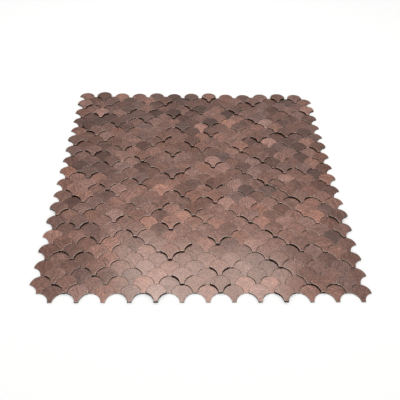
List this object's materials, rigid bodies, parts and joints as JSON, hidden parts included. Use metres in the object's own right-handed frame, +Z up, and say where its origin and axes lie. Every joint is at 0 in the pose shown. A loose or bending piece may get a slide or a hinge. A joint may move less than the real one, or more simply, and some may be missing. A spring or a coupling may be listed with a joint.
{
  "type": "self-adhesive metal mosaic tile",
  "caption": "Flat mosaic sheet of fan-shaped brushed metal chips in three thicknesses, set in interlocking rows on a self-adhesive film, for facing a wall.",
  "frame": {"origin": "middle of the tile's outline, on the underside of the adhesive film", "axes": "+Z up out of the metal face, +Y along the fans from tail to round head, +X along the rows"},
  "size_m": [0.2744, 0.2974, 0.0024],
  "materials": {
    "chip_metal": "brushed, copper brown, tone varies from chip to chip",
    "film": "matte, tacky underside"
  },
  "bodies": {
    "root": {"adhesive_film": "film", "chip_row_01": "chip_metal", "chip_row_02": "chip_metal", "chip_row_03": "chip_metal", "chip_row_04": "chip_metal", "chip_row_05": "chip_metal", "chip_row_06": "chip_metal", "chip_row_07": "chip_metal", "chip_row_08": "chip_metal", "chip_row_09": "chip_metal", "chip_row_10": "chip_metal", "chip_row_11": "chip_metal", "chip_row_12": "chip_metal", "chip_row_13": "chip_metal", "chip_row_14": "chip_metal", "chip_row_15": "chip_metal", "chip_row_16": "chip_metal", "chip_row_17": "chip_metal", "chip_row_18": "chip_metal", "chip_row_19": "chip_metal", "chip_row_20": "chip_metal", "chip_row_21": "chip_metal", "chip_row_22": "chip_metal", "chip_row_23": "chip_metal", "chip_row_24": "chip_metal", "chip_row_25": "chip_metal", "chip_row_26": "chip_metal", "chip_row_27": "chip_metal", "chip_row_28": "chip_metal", "chip_row_29": "chip_metal", "chip_row_30": "chip_metal", "chip_row_31": "chip_metal", "chip_row_32": "chip_metal", "chip_row_33": "chip_metal", "chip_row_34": "chip_metal"}
  },
  "joints": []
}
